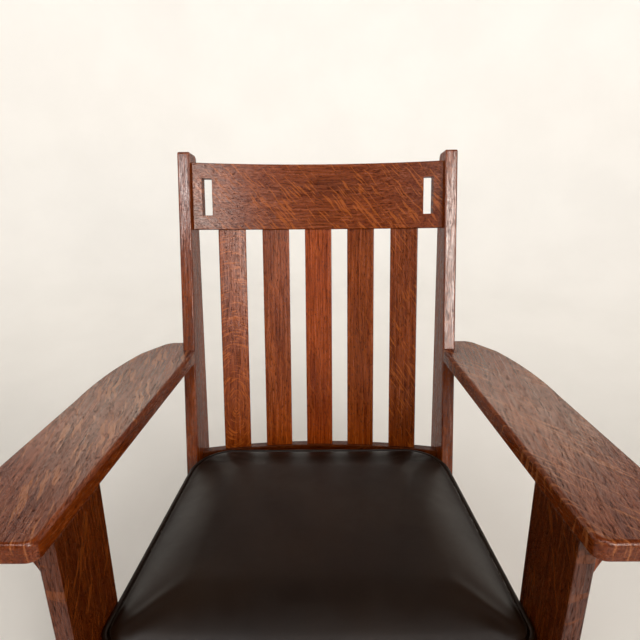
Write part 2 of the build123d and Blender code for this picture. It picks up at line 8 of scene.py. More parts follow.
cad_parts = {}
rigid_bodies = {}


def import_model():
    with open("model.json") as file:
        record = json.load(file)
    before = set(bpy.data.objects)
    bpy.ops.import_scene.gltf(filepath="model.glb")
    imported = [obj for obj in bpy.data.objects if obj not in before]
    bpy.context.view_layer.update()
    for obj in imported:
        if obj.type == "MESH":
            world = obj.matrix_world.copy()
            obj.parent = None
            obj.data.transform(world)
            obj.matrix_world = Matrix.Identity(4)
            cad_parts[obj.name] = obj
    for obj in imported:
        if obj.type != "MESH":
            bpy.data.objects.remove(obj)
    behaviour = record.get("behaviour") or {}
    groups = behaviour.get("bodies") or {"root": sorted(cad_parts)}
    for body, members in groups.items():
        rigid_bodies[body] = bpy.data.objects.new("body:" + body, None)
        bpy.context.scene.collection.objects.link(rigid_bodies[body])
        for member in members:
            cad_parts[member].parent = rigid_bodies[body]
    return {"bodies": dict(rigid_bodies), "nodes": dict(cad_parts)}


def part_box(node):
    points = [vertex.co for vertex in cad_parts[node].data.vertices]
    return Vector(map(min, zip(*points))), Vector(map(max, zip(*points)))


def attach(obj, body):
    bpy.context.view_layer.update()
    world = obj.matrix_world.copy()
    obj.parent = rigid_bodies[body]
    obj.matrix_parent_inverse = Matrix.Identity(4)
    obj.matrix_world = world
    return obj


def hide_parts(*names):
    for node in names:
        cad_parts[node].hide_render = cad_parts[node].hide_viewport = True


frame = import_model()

# A mission rocking chair in stained quarter-sawn oak with a black leather drop-in seat.
# Lengths are in metres. The chair's build frame is tipped back by its rest tilt, as in the part's source.

rest_tilt = math.radians(5.7)
back_lean = math.radians(10.2)
arm_splay = math.radians(4.83)
quarter_turn = math.radians(90)
contact_reach = 0.178

nodes = frame["nodes"]
for leftover in set(bpy.data.objects) - set(nodes.values()) - set(frame["bodies"].values()):
    bpy.data.objects.remove(leftover)
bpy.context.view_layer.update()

tip = Matrix.Rotation(-rest_tilt, 4, "X") @ Matrix.Translation((0, contact_reach, 0))


# Node graphs


class Graph:
    """A material's node tree with short ways to add to it."""

    def __init__(self, name):
        self.material = bpy.data.materials.new(name)
        self.material.use_nodes = True
        self.tree = self.material.node_tree
        self.shader = self.tree.nodes["Principled BSDF"]

    def node(self, kind, inputs=None, **settings):
        made = self.tree.nodes.new(kind)
        for key, value in settings.items():
            setattr(made, key, value)
        for key, value in (inputs or {}).items():
            self.feed(value, made.inputs[key])
        return made

    def feed(self, value, socket):
        if isinstance(value, bpy.types.NodeSocket):
            self.tree.links.new(value, socket)
        else:
            socket.default_value = value

    def place(self):
        return self.node("ShaderNodeTexCoord").outputs["Object"]

    def mapped(self, vector, turn=(0, 0, 0), scale=(1, 1, 1), shift=(0, 0, 0)):
        inputs = {"Vector": vector, "Rotation": turn, "Scale": scale, "Location": shift}
        return self.node("ShaderNodeMapping", inputs).outputs["Vector"]

    def noise(self, vector, scale=1.0, detail=2.0, roughness=0.5, distortion=0.0, output="Fac"):
        inputs = {"Vector": vector, "Scale": scale, "Detail": detail}
        inputs |= {"Roughness": roughness, "Distortion": distortion}
        return self.node("ShaderNodeTexNoise", inputs).outputs[output]

    def waves(self, vector, per_metre, **settings):
        """Noise with its own number of waves a metre along each axis."""
        return self.noise(self.mapped(vector, scale=per_metre), **settings)

    def maths(self, operation, first, second=0.0):
        return self.node("ShaderNodeMath", {0: first, 1: second}, operation=operation).outputs[0]

    def plus(self, first, second):
        return self.maths("ADD", first, second)

    def minus(self, first, second):
        return self.maths("SUBTRACT", first, second)

    def times(self, first, second):
        return self.maths("MULTIPLY", first, second)

    def vectors(self, operation, first, second=(0, 0, 0), output="Vector"):
        made = self.node("ShaderNodeVectorMath", {0: first, 1: second}, operation=operation)
        return made.outputs[output]

    def split(self, vector):
        return self.node("ShaderNodeSeparateXYZ", {0: vector}).outputs

    def span(self, value, low, high, at_low=0.0, at_high=1.0):
        """Smooth step from one result at a low value to another at a high value."""
        inputs = {"Value": value, "From Min": low, "From Max": high, "To Min": at_low, "To Max": at_high}
        return self.node("ShaderNodeMapRange", inputs, interpolation_type="SMOOTHSTEP").outputs["Result"]

    def mix(self, share, first, second):
        """The first colour, with a share of the second over it; the node's colour sockets are 6, 7 and 2."""
        made = self.node("ShaderNodeMix", data_type="RGBA")
        self.feed(share, made.inputs[0])
        self.feed(first, made.inputs[6])
        self.feed(second, made.inputs[7])
        return made.outputs[2]

    def bump(self, height, strength, distance, normal=None):
        inputs = {"Height": height, "Strength": strength, "Distance": distance}
        if normal is not None:
            inputs["Normal"] = normal
        return self.node("ShaderNodeBump", inputs).outputs["Normal"]

    def fading_gloss(self, gloss, low, high, edge_share):
        """Specular level that falls to a share of itself where a surface is seen edge on."""
        self.shader.inputs["Specular IOR Level"].default_value = gloss
        grazing = self.node("ShaderNodeLayerWeight").outputs["Facing"]
        return self.span(grazing, low, high, gloss, gloss * edge_share)

    def finish(self, **sockets):
        for name, value in sockets.items():
            self.feed(value, self.shader.inputs[name.replace("_", " ")])
        return self.material


picture_white = 255
picture_gamma = 2.2


def tint(red, green, blue):
    """Linear colour from the 0 to 255 numbers of a picture."""
    return tuple((value / picture_white) ** picture_gamma for value in (red, green, blue)) + (1.0,)


# Oak: growth streaks and pores along the grain, and ray flecks that cross it

seed_shifts = (0.37, 0.61, 0.83)
noise_middle = (0.5, 0.5, 0.5)

# Waves a metre of each pattern: across the grain, across it again, and along it
streak_waves = (210, 210, 7)
line_waves = (700, 700, 26)
thread_waves = (560, 560, 3)
cloud_waves = (16, 16, 5)
dash_waves = (680, 680, 125)
sway_waves = (28, 28, 28)
patch_waves = (22, 22, 14)
figure_waves = (45, 45, 45)

# Rings of a board's figure in each metre out from their eye, and the scale that draws them out along z
ring_waves = 620
ring_stretch_shares = (1, 1, 0.5)

# A fleck's noise in waves a fleck size, its soft edge, and how patches raise and lower its limit
blob_share = 0.4
soft_edge_share = 0.4
sparse_limit_share = 0.05
dense_limit_share = 0.03

# How far flecks cover the wood, fill its pores and smooth it, how pores and lines roughen it, and
# the share of its gloss that is left where it is seen edge on
fleck_cover_share = 0.8
fleck_fill_share = 0.6
fleck_smooth_share = 0.05
pore_rough_share = 0.06
line_height_share = 0.4
oak_edge_gloss_share = 1 / 30

stain_dark = (46, 18, 4)
stain_middle = (108, 45, 10)
stain_light = (138, 65, 19)
stain_worn = (140, 72, 34)
worn_edge = 0.0016
pore_depth = 0.0004


class Oak:
    """What sets one oak piece apart. Fleck sizes are in metres, the slant in radians, the sway in widths."""

    tone = 1.0
    red = 1.0
    fleck = 0.5
    fleck_length = 0.020
    fleck_width = 0.0022
    fleck_depth = 0.030
    fleck_slant = 0.5
    fleck_limit = 0.60
    fleck_sway = 6.0
    fleck_edge = 0.04
    fleck_plane = "X"
    fleck_colour = (180, 96, 40)
    pore = 0.75
    gloss = 0.5
    pore_dull = 0.9
    streak_dull = 0.0
    figure = 0.0
    figure_eye = None

    def __init__(self, **settings):
        for key, value in settings.items():
            setattr(self, key, value)

    def stain(self, colour, red=1.0):
        """A colour of the stain at the piece's depth of tone."""
        return tint(colour[0] * self.tone * red, colour[1] * self.tone, colour[2] * self.tone)


def swayed_place(graph, local, sway):
    """The wood's coordinates, moved about softly by up to half a sway so that no fleck is quite straight."""
    drift = graph.waves(local, sway_waves, detail=1.0, output="Color")
    drift = graph.vectors("SUBTRACT", drift, noise_middle)
    return graph.vectors("ADD", local, graph.vectors("MULTIPLY", drift, (sway, sway, sway)))


def ray_flecks(graph, local, swayed, wood):
    """Ray flecks: slanting blobs in patches."""
    if wood.fleck_plane == "X":
        slant = (0, wood.fleck_slant, 0)
        sizes = (wood.fleck_width, wood.fleck_depth, wood.fleck_length)
    else:
        slant = (wood.fleck_slant, 0, 0)
        sizes = (wood.fleck_depth, wood.fleck_width, wood.fleck_length)
    blob_waves = tuple(blob_share / size for size in sizes)
    blobs = graph.waves(graph.mapped(swayed, slant), blob_waves, distortion=0.15)
    patches = graph.waves(local, patch_waves, detail=1.0)
    sparse = wood.fleck_limit + sparse_limit_share
    dense = wood.fleck_limit - dense_limit_share
    ridge = graph.minus(blobs, graph.span(patches, low=0.35, high=0.65, at_low=sparse, at_high=dense))
    return graph.times(graph.span(ridge, -soft_edge_share * wood.fleck_edge, wood.fleck_edge), wood.fleck)


def eye_figure(graph, swayed, turn, origin, wood):
    """Figure that runs in wavy rings round an eye in the board."""
    eye = Euler(turn, "XYZ").to_matrix() @ wood.figure_eye + origin
    from_eye = graph.vectors("SUBTRACT", swayed, eye)
    reach = graph.vectors("LENGTH", graph.mapped(from_eye, scale=ring_stretch_shares), output="Value")
    axes = graph.split(graph.mapped(from_eye, scale=figure_waves))
    wavy_inputs = {"X": axes["X"], "Y": axes["Z"], "Z": graph.times(reach, ring_waves)}
    wavy_place = graph.node("ShaderNodeCombineXYZ", wavy_inputs).outputs["Vector"]
    wavy = graph.noise(wavy_place, detail=1.5, distortion=0.3)
    return graph.times(graph.span(wavy, low=0.52, high=0.66), wood.figure)


def worn_edges(graph, rounded, clouds):
    """Share of wear at the edges, found where the rounded normal turns away from the flat one."""
    flat = graph.node("ShaderNodeNewGeometry").outputs["Normal"]
    facing = graph.vectors("DOT_PRODUCT", rounded, flat, output="Value")
    strength = graph.span(clouds, low=0.3, high=0.7, at_low=0.1, at_high=0.45)
    return graph.times(graph.span(facing, low=0.995, high=0.9), strength)


def oak(name, turn, seed, **settings):
    """Material of one oak piece whose grain runs along z once its coordinates are turned."""
    wood = Oak(**settings)
    graph = Graph(name)
    origin = Vector([seed * shift for shift in seed_shifts])
    local = graph.mapped(graph.place(), turn, shift=origin)
    streaks = graph.waves(local, streak_waves, detail=3.0, roughness=0.6, distortion=0.3)
    lines = graph.waves(local, line_waves, detail=3.0, roughness=0.7, distortion=0.4)
    threads = graph.waves(local, thread_waves, roughness=0.6)
    clouds = graph.waves(local, cloud_waves)
    dashes = graph.waves(local, dash_waves, roughness=0.7, distortion=0.2)
    pores = graph.span(dashes, low=0.54, high=0.64)
    swayed = swayed_place(graph, local, wood.fleck_width * wood.fleck_sway)
    flecks = ray_flecks(graph, local, swayed, wood)
    if wood.figure:
        flecks = graph.maths("MAXIMUM", flecks, eye_figure(graph, swayed, turn, origin, wood))
    unflecked = graph.minus(1.0, graph.times(flecks, fleck_fill_share))
    rounded = graph.node("ShaderNodeBevel", {"Radius": worn_edge}).outputs["Normal"]

    dark = wood.stain(stain_dark)
    middle = wood.stain(stain_middle, wood.red)
    light = wood.stain(stain_light, wood.red)
    colour = graph.mix(graph.span(streaks, low=0.32, high=0.68), middle, light)
    colour = graph.mix(graph.span(lines, low=0.45, high=0.65, at_high=0.55), colour, dark)
    colour = graph.mix(graph.span(clouds, low=0.35, high=0.75, at_high=0.3), colour, dark)
    colour = graph.mix(graph.times(flecks, fleck_cover_share), colour, wood.stain(wood.fleck_colour))
    colour = graph.mix(graph.times(graph.times(pores, wood.pore), unflecked), colour, dark)
    colour = graph.mix(worn_edges(graph, rounded, clouds), colour, wood.stain(stain_worn))

    rough = graph.span(streaks, low=0.3, high=0.7, at_low=0.22, at_high=0.28)
    rough = graph.plus(rough, graph.times(pores, pore_rough_share))
    rough = graph.minus(rough, graph.times(flecks, fleck_smooth_share))
    height = graph.minus(graph.times(lines, line_height_share), graph.times(pores, unflecked))
    normal = graph.bump(height, strength=0.1, distance=pore_depth, normal=rounded)
    gloss = graph.fading_gloss(wood.gloss, low=0.52, high=0.8, edge_share=oak_edge_gloss_share)
    gloss = graph.times(gloss, graph.minus(1.0, graph.times(pores, wood.pore_dull)))
    gloss = graph.times(gloss, graph.span(lines, low=0.42, high=0.62, at_low=1.15, at_high=0.5))
    bright, dull = 1 + wood.streak_dull / 2, 1 - wood.streak_dull
    gloss = graph.times(gloss, graph.span(threads, low=0.42, high=0.58, at_low=bright, at_high=dull))
    return graph.finish(Base_Color=colour, Roughness=rough, Normal=normal, Specular_IOR_Level=gloss)


def grain_turn(*turns):
    """Rotation that brings a piece's grain onto z, as the mapping node wants it."""
    total = Matrix.Identity(3)
    for angle, axis in turns:
        total = Matrix.Rotation(angle, 3, axis) @ total
    return tuple(total.to_euler("XYZ"))


upright = grain_turn((rest_tilt + back_lean, "X"))
leg_up = grain_turn((rest_tilt, "X"))
level_across = grain_turn((rest_tilt, "X"), (quarter_turn, "Y"))
level_back = grain_turn((rest_tilt, "X"), (quarter_turn, "X"))


def splayed(side):
    """Grain along an arm, side rail or runner of the right (+1) or left (-1) side."""
    return grain_turn((rest_tilt, "X"), (side * arm_splay, "Z"), (quarter_turn, "X"))


def dress(node, material):
    """Gives a CAD node its material."""
    slots = nodes[node].material_slots
    for index in range(len(slots)):
        slots[index].material = material


def slat_eye(number, height_share):
    """Place on a slat's middle line that its figure runs round."""
    low, high = (Vector(corner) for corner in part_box("back_slat_" + str(number)))
    return Vector(((low.x + high.x) / 2, *(low.yz + (high.yz - low.yz) * height_share)))


# Seeds of the woods' patterns; a piece on the right takes one more and its twin on the left one less
crest_seed = 1
lower_rail_seed = 2
first_slat_seed = 3
post_seed = 10
arm_seed = 13
leg_seed = 16
corbel_seed = 19
rocker_seed = 22
side_wood_seed = 25
cross_wood_seed = 28
pin_seed = 29

crest_marks = {
    "gloss": 0.42,
    "fleck": 0.6,
    "fleck_length": 0.015,
    "fleck_width": 0.0011,
    "fleck_depth": 0.06,
    "fleck_slant": -0.85,
    "fleck_limit": 0.575,
    "fleck_sway": 9.0,
}
# The lower back rail's tone of 0.7 is painted shade: the rail's oak is darkened as though in the shade of
# the seat and slats.
lower_rail_shaded_marks = {"tone": 0.7, "gloss": 0.12, "fleck": 0.3}
slat_marks = (
    {"tone": 1.1, "figure": 0.6, "figure_eye": slat_eye(number=1, height_share=0.22)},
    {"tone": 1.16},
    {"tone": 1.17, "red": 1.05},
    {"tone": 1.08},
    {
        "tone": 1.02,
        "fleck": 0.5,
        "fleck_slant": 0.55,
        "fleck_width": 0.0014,
        "fleck_length": 0.017,
        "fleck_limit": 0.585,
    },
)
arm_marks = {"tone": 0.94, "fleck": 0.6, "fleck_colour": (178, 110, 66)}
left_arm_marks = arm_marks | {
    "fleck_length": 0.024,
    "fleck_width": 0.0022,
    "fleck_slant": 0.12,
    "fleck_limit": 0.575,
    "fleck_edge": 0.05,
}
right_arm_marks = arm_marks | {
    "fleck_length": 0.032,
    "fleck_width": 0.0013,
    "fleck_slant": 0.75,
    "fleck_limit": 0.56,
    "fleck_edge": 0.06,
}
post_marks = {"fleck": 0.1, "fleck_plane": "Y", "gloss": 0.95, "pore_dull": 0.5, "streak_dull": 0.45}
leg_marks = {"fleck": 0.45, "fleck_plane": "Y"}
side_marks = {"fleck": 0.5, "fleck_plane": "Y"}


def dress_side(side, word, shaded_leg_tone, own_arm_marks):
    """Dresses the oak pieces of the right (+1) or left (-1) side."""
    along = splayed(side)
    dress("back_post_" + word, oak("oak_post_" + word, upright, post_seed + side, **post_marks))
    dress("arm_" + word, oak("oak_arm_" + word, along, arm_seed + side, **own_arm_marks))
    # The front leg's lowered tone is painted shade: it darkens the leg's oak as though the arm shaded it.
    dress("front_leg_" + word, oak("oak_leg_" + word, leg_up, leg_seed + side, tone=shaded_leg_tone, **leg_marks))
    dress("arm_corbel_" + word, oak("oak_corbel_" + word, leg_up, corbel_seed + side, fleck=0.3))
    dress("rocker_" + word, oak("oak_rocker_" + word, along, rocker_seed + side, **side_marks))
    side_wood = oak("oak_side_" + word, along, side_wood_seed + side, **side_marks)
    dress("side_seat_rail_" + word, side_wood)
    dress("side_stretcher_" + word, side_wood)


dress("crest_rail", oak("oak_crest", level_across, crest_seed, **crest_marks))
dress("lower_back_rail", oak("oak_lower_rail", level_across, lower_rail_seed, **lower_rail_shaded_marks))
for index, own_marks in enumerate(slat_marks):
    number = str(index + 1)
    marks = {"fleck": 0.12} | own_marks
    dress("back_slat_" + number, oak("oak_slat_" + number, upright, first_slat_seed + index, **marks))
# The legs' tones of 0.68 on the right and 0.78 on the left are painted shade: the legs' oak is darkened as
# though shaded by the arms, the right leg more than the left.
dress_side(1, "right", shaded_leg_tone=0.68, own_arm_marks=right_arm_marks)
dress_side(-1, "left", shaded_leg_tone=0.78, own_arm_marks=left_arm_marks)
cross_wood = oak("oak_cross", level_across, cross_wood_seed, fleck=0.6)
for node in ("front_seat_rail", "rear_seat_rail", "middle_stretcher"):
    dress(node, cross_wood)
dress("rocker_pins", oak("oak_pins", level_across, pin_seed, tone=0.8, fleck=0.0))


# Plain inner wood, cloth and steel

inner_seed_shifts = (0.41, 0.29, 0.73)
inner_across_seed = 31
inner_along_seed = 32
inner_ring_waves = (120, 120, 4)
inner_fibre_waves = (1400, 1400, 30)
slub_waves = 260
steel_mark_waves = (900, 900, 900)
fine_relief = 0.0003
webbing_pitch = 0.0016
burlap_pitch = 0.0022
cambric_pitch = 0.0009
fibre_share = 0.3
slub_share = 0.35

softwood_light = tint(196, 160, 112)
softwood_dark = tint(160, 118, 74)
softwood_fibre = tint(124, 86, 50)
zinc_bright = tint(176, 172, 164)
zinc_dull = tint(128, 124, 116)
jute_thread = tint(176, 140, 92)
jute_gap = tint(104, 74, 42)
burlap_thread = tint(168, 134, 88)
burlap_gap = tint(88, 64, 38)
cambric_thread = tint(38, 37, 36)
cambric_gap = tint(14, 14, 14)


def plain_wood(name, turn, seed):
    """Unstained softwood of the hidden frame, cleats and blocks."""
    graph = Graph(name)
    local = graph.mapped(graph.place(), turn, shift=[seed * shift for shift in inner_seed_shifts])
    rings = graph.waves(local, inner_ring_waves, detail=3.0, distortion=0.4)
    fibre = graph.waves(local, inner_fibre_waves)
    colour = graph.mix(graph.span(rings, low=0.35, high=0.7), softwood_light, softwood_dark)
    marks = graph.times(graph.span(fibre, low=0.5, high=0.7), fibre_share)
    colour = graph.mix(marks, colour, softwood_fibre)
    normal = graph.bump(fibre, strength=0.3, distance=fine_relief)
    return graph.finish(Base_Color=colour, Roughness=0.62, Normal=normal)


def cloth(name, thread, gap, pitch):
    """Plain woven cloth with threads at a pitch, in the build frame's own plane."""
    graph = Graph(name)
    local = graph.mapped(graph.place(), leg_up)
    strand = 2 * math.pi / pitch
    axes = graph.split(local)
    warp = graph.maths("SINE", graph.times(axes["X"], strand))
    weft = graph.maths("SINE", graph.times(axes["Y"], strand))
    weave = graph.maths("MAXIMUM", warp, weft)
    slub = graph.noise(local, slub_waves, detail=3.0)
    colour = graph.mix(graph.span(weave, low=-0.2, high=0.8), gap, thread)
    colour = graph.mix(graph.times(slub, slub_share), colour, gap)
    normal = graph.bump(weave, strength=0.5, distance=fine_relief)
    return graph.finish(Base_Color=colour, Roughness=0.9, Normal=normal, Sheen_Weight=0.2)


def steel():
    """Zinc-coated steel of the screws."""
    graph = Graph("screw_steel")
    marks = graph.waves(graph.place(), steel_mark_waves, detail=3.0)
    colour = graph.mix(graph.span(marks, low=0.4, high=0.7), zinc_bright, zinc_dull)
    rough = graph.span(marks, low=0.3, high=0.7, at_low=0.28, at_high=0.5)
    return graph.finish(Base_Color=colour, Metallic=1.0, Roughness=rough)


inner_across = plain_wood("inner_wood_across", level_across, inner_across_seed)
inner_along = plain_wood("inner_wood_along", level_back, inner_along_seed)
for end in ("front", "rear"):
    dress("seat_frame_" + end, inner_across)
    dress("seat_cleat_" + end, inner_across)
    for word in ("left", "right"):
        dress("corner_block_" + end + "_" + word, inner_across)
for word in ("left", "right"):
    dress("seat_frame_" + word, inner_along)
    dress("seat_cleat_" + word, inner_along)
dress("seat_frame_dowels", inner_along)
screw_steel = steel()
dress("cleat_screws", screw_steel)
dress("corner_block_screws", screw_steel)
jute = cloth("jute_webbing", jute_thread, jute_gap, webbing_pitch)
dress("webbing_along", jute)
dress("webbing_across", jute)
dress("seat_deck", cloth("burlap", burlap_thread, burlap_gap, burlap_pitch))
dress("seat_dust_cover", cloth("cambric", cambric_thread, cambric_gap, cambric_pitch))


# Black leather

leather_deep = tint(27, 17, 10)
leather_brown = tint(34, 23, 14)
leather_worn = tint(52, 40, 31)
leather_wear_share = 0.3
leather_gloss = 0.28
leather_edge_gloss_share = 1 / 7
leather_cell_waves = 950
leather_grain_waves = 620
leather_fold_waves = 26
leather_tone_waves = 7
cell_height_share = 0.6
grain_height_share = 0.5
leather_grain_depth = 0.0002
leather_fold_depth = 0.0025
seat_leather_shift = 3.1
welt_leather_shift = 5.7


def leather(name, shift):
    """Smooth black-brown upholstery leather with a fine grain and soft wear."""
    graph = Graph(name)
    place = graph.mapped(graph.place(), shift=(shift, shift, shift))
    cell_inputs = {"Vector": place, "Scale": leather_cell_waves}
    cells = graph.node("ShaderNodeTexVoronoi", cell_inputs, feature="DISTANCE_TO_EDGE").outputs["Distance"]
    grain = graph.noise(place, leather_grain_waves, detail=4.0, roughness=0.6)
    folds = graph.noise(place, leather_fold_waves, detail=3.0, distortion=0.6)
    tone = graph.noise(place, leather_tone_waves)
    colour = graph.mix(graph.span(tone, low=0.3, high=0.7), leather_deep, leather_brown)
    wear = graph.times(graph.span(grain, low=0.5, high=0.8), leather_wear_share)
    colour = graph.mix(wear, colour, leather_worn)
    rough = graph.span(folds, low=0.3, high=0.7, at_low=0.38, at_high=0.46)
    cell_height = graph.times(graph.span(cells, low=0.0, high=0.25), cell_height_share)
    height = graph.plus(cell_height, graph.times(grain, grain_height_share))
    normal = graph.bump(height, strength=0.22, distance=leather_grain_depth)
    normal = graph.bump(folds, strength=0.12, distance=leather_fold_depth, normal=normal)
    gloss = graph.fading_gloss(leather_gloss, low=0.48, high=0.66, edge_share=leather_edge_gloss_share)
    return graph.finish(Base_Color=colour, Roughness=rough, Normal=normal, Specular_IOR_Level=gloss)


seat_leather = leather("seat_leather_black", seat_leather_shift)
welt_leather = leather("welt_leather_black", welt_leather_shift)


# Seat cushion: top panel, boxing and welt, on the outline that the part's source states

post_inner = 0.219
arm_root = -0.0413
seat_gap = 0.0012
seat_rear = -0.0595
seat_front = -0.4836
seat_half = 0.212
rear_corner = 0.072
front_corner = 0.030
seat_floor = 0.3173
rail_top = 0.332

welt_z = 0.393
welt_radius = 0.003
welt_groove = 0.0072
crown_height = 0.020
crown_inset = 0.116
crown_fullness = 2.6
crown_edge_fullness = 0.58

# Boxing, from the seam down to the hem under the seat frame
seam_roll_inset = 0.0030
seam_roll_drop = 0.0055
shoulder_inset = 0.0018
shoulder_drop = 0.012
swell_margin = 0.001
swell_z = 0.340
swell_height = 0.032
swell_shares = (1, 0.66, 0.33)
swell_foot_inset = 0.0015
tuck_inset = 0.0035
tuck_rise = 0.004
drop_in_inset = 0.006
boxing_low = 0.333
rail_lap = 0.007
hem_roll = 0.0015
hem_edge = 0.032

across_cell_count = 60
along_cell_count = 56
corner_step_count = 32
half_corner = corner_step_count // 2


def side_line(y):
    """Half width between the arms' and legs' inner faces at the place y."""
    return post_inner + math.tan(arm_splay) * (arm_root - y)


def corner_arc(before, corner, after, radius):
    """Points of a corner's round, which touches the lines to the corners before and after it."""
    back = (before - corner).normalized()
    on = (after - corner).normalized()
    half = back.angle(on) / 2
    middle = corner + (back + on).normalized() * radius / math.sin(half)
    first = corner + back * radius / math.tan(half) - middle
    last = corner + on * radius / math.tan(half) - middle
    sweep = first.angle_signed(last)
    arc = []
    for step in range(corner_step_count + 1):
        arc.append(middle + Matrix.Rotation(-sweep * step / corner_step_count, 2) @ first)
    return arc


def even_points(path, count):
    """Points at even steps along a path, from its first point up to one step before its last."""
    lengths = [0.0]
    for one, two in zip(path, path[1:]):
        lengths.append(lengths[-1] + (two - one).length)
    points = []
    for step in range(count):
        target = lengths[-1] * step / count
        slot = max(number for number, length in enumerate(lengths) if length <= target)
        slot = min(slot, len(path) - 2)
        share = (target - lengths[slot]) / (lengths[slot + 1] - lengths[slot])
        points.append(path[slot].lerp(path[slot + 1], share))
    return points


def outline(inset, across_count, along_count):
    """Points round the cushion at an inset, even on each side, from the rear right corner's middle."""
    gap = (seat_gap + inset) / math.cos(arm_splay)
    rear, front = seat_rear - inset, seat_front + inset
    corners = [
        Vector((side_line(rear) - gap, rear)),
        Vector((-side_line(rear) + gap, rear)),
        Vector((-side_line(front) + gap, front)),
        Vector((side_line(front) - gap, front)),
    ]
    rounds = (rear_corner, rear_corner, front_corner, front_corner)
    arcs = []
    for index, corner in enumerate(corners):
        after = corners[(index + 1) % len(corners)]
        radius = rounds[index] * (1 - inset / seat_half)
        arcs.append(corner_arc(corners[index - 1], corner, after, radius))
    points = []
    for index, count in enumerate((across_count, along_count, across_count, along_count)):
        path = arcs[index][half_corner:] + arcs[(index + 1) % len(arcs)][: half_corner + 1]
        points += even_points(path, count)
    return points


def crown(distance):
    """Height share of the crown at a distance in from the welt."""
    share = min(distance / crown_inset, 1.0)
    return (1 - (1 - share) ** crown_fullness) ** crown_edge_fullness


def top_panel(shape):
    """Crowned grid of quads inside the seam; returns its vertices by their place in the grid."""
    across, along = across_cell_count, along_cell_count
    rim = outline(welt_groove, across, along)
    rear = rim[0 : across + 1]
    left = rim[across : across + along + 1]
    front = rim[across + along : 2 * across + along + 1][::-1]
    right = (rim[2 * across + along :] + rim[:1])[::-1]
    grid = {}
    seam_z = welt_z + welt_radius / 2
    for column in range(across + 1):
        for row in range(along + 1):
            left_share, front_share = column / across, row / along
            right_share, rear_share = 1 - left_share, 1 - front_share
            point = rear[column] * rear_share + front[column] * front_share
            point += right[row] * right_share
            point += left[row] * left_share
            overlap = rear[0] * right_share * rear_share + rear[across] * left_share * rear_share
            overlap += front[0] * right_share * front_share
            overlap += front[across] * left_share * front_share
            point -= overlap
            near = min((point - other).length for other in rim)
            grid[column, row] = shape.verts.new((point.x, point.y, seam_z + crown_height * crown(near)))
    for column in range(across):
        for row in range(along):
            near_side = (grid[column, row], grid[column + 1, row])
            shape.faces.new((*near_side, grid[column + 1, row + 1], grid[column, row + 1]))
    return grid


def seam_ring(grid):
    """The top panel's outer vertices in the outline's order."""
    across, along = across_cell_count, along_cell_count
    ring = [grid[column, 0] for column in range(across)]
    ring += [grid[across, row] for row in range(along)]
    ring += [grid[across - column, along] for column in range(across)]
    ring += [grid[0, along - row] for row in range(along)]
    return ring


def boxing_levels():
    """Inset and height of each ring below the seam, and whether the puffing leaves it where it is."""
    levels = [
        (welt_groove, welt_z - welt_radius / 2, True),
        (seam_roll_inset, welt_z - seam_roll_drop, False),
        (shoulder_inset, welt_z - shoulder_drop, False),
    ]
    for share in swell_shares:
        levels.append((swell_margin, swell_z + swell_height * share, False))
    levels += [
        (swell_foot_inset, swell_z, False),
        (tuck_inset, rail_top + tuck_rise, True),
        (drop_in_inset, boxing_low, True),
        (drop_in_inset, rail_top - rail_lap, True),
        (drop_in_inset, seat_floor + hem_roll, True),
        (drop_in_inset + hem_roll, seat_floor, True),
        (hem_edge, seat_floor, True),
    ]
    return levels


def cushion_mesh():
    """Quads of the top panel, the seam, the boxing and the hem; returns the mesh and the held vertices."""
    shape = bmesh.new()
    grid = top_panel(shape)
    ring = seam_ring(grid)
    pinned = set(ring)
    for inset, z, still in boxing_levels():
        points = outline(inset, across_cell_count, along_cell_count)
        loop = [shape.verts.new((point.x, point.y, z)) for point in points]
        for index in range(len(ring)):
            after = (index + 1) % len(ring)
            shape.faces.new((ring[index], ring[after], loop[after], loop[index]))
        if still:
            pinned |= set(loop)
        ring = loop
    shape.normal_update()
    if grid[across_cell_count // 2, along_cell_count // 2].normal.z < 0:
        bmesh.ops.reverse_faces(shape, faces=shape.faces)
    shape.verts.index_update()
    held = [vert.index for vert in pinned]
    mesh = bpy.data.meshes.new("seat_cushion")
    shape.to_mesh(mesh)
    shape.free()
    return mesh, held


def add_piece(name, mesh, material, body):
    """Links a mesh as a smooth piece that rides on a body."""
    piece = bpy.data.objects.new(name, mesh)
    bpy.context.scene.collection.objects.link(piece)
    mesh.materials.append(material)
    mesh.shade_smooth()
    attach(piece, body)
    return piece


# How the cushion's leather is puffed up
puff_frame_count = 20
puff_pressure = 4.0
puff_stretch_stiffness = 25.0
puff_shear_stiffness = 12.0
puff_bending_stiffness = 1.5
puff_top_cap = 0.004


def puff(piece, held, cap_at):
    """Inflates a cushion with a short cloth simulation, holding its seams and capping each point's move."""
    rest = [vertex.co.copy() for vertex in piece.data.vertices]
    group = piece.vertex_groups.new(name="held")
    group.add(held, 1.0, "REPLACE")
    modifier = piece.modifiers.new("puff", "CLOTH")
    settings = modifier.settings
    settings.vertex_group_mass = "held"
    settings.use_pressure = True
    settings.uniform_pressure_force = puff_pressure
    settings.tension_stiffness = settings.compression_stiffness = puff_stretch_stiffness
    settings.shear_stiffness = puff_shear_stiffness
    settings.bending_stiffness = puff_bending_stiffness
    settings.effector_weights.gravity = 0.0
    modifier.collision_settings.use_collision = False
    modifier.point_cache.frame_start = 1
    modifier.point_cache.frame_end = puff_frame_count
    scene = bpy.context.scene
    for number in range(1, puff_frame_count + 1):
        scene.frame_set(number)
    swollen_piece = piece.evaluated_get(bpy.context.evaluated_depsgraph_get())
    swollen = [vertex.co.copy() for vertex in swollen_piece.data.vertices]
    piece.modifiers.remove(modifier)
    scene.frame_set(1)
    for vertex, start, end in zip(piece.data.vertices, rest, swollen):
        move = end - start
        cap = cap_at(start)
        if move.length > cap:
            move *= cap / move.length
        vertex.co = start + move


def cushion_cap(point):
    """How far the puffed leather may move: little at the boxing, which stands between the legs."""
    return puff_top_cap if point.z > welt_z else swell_margin


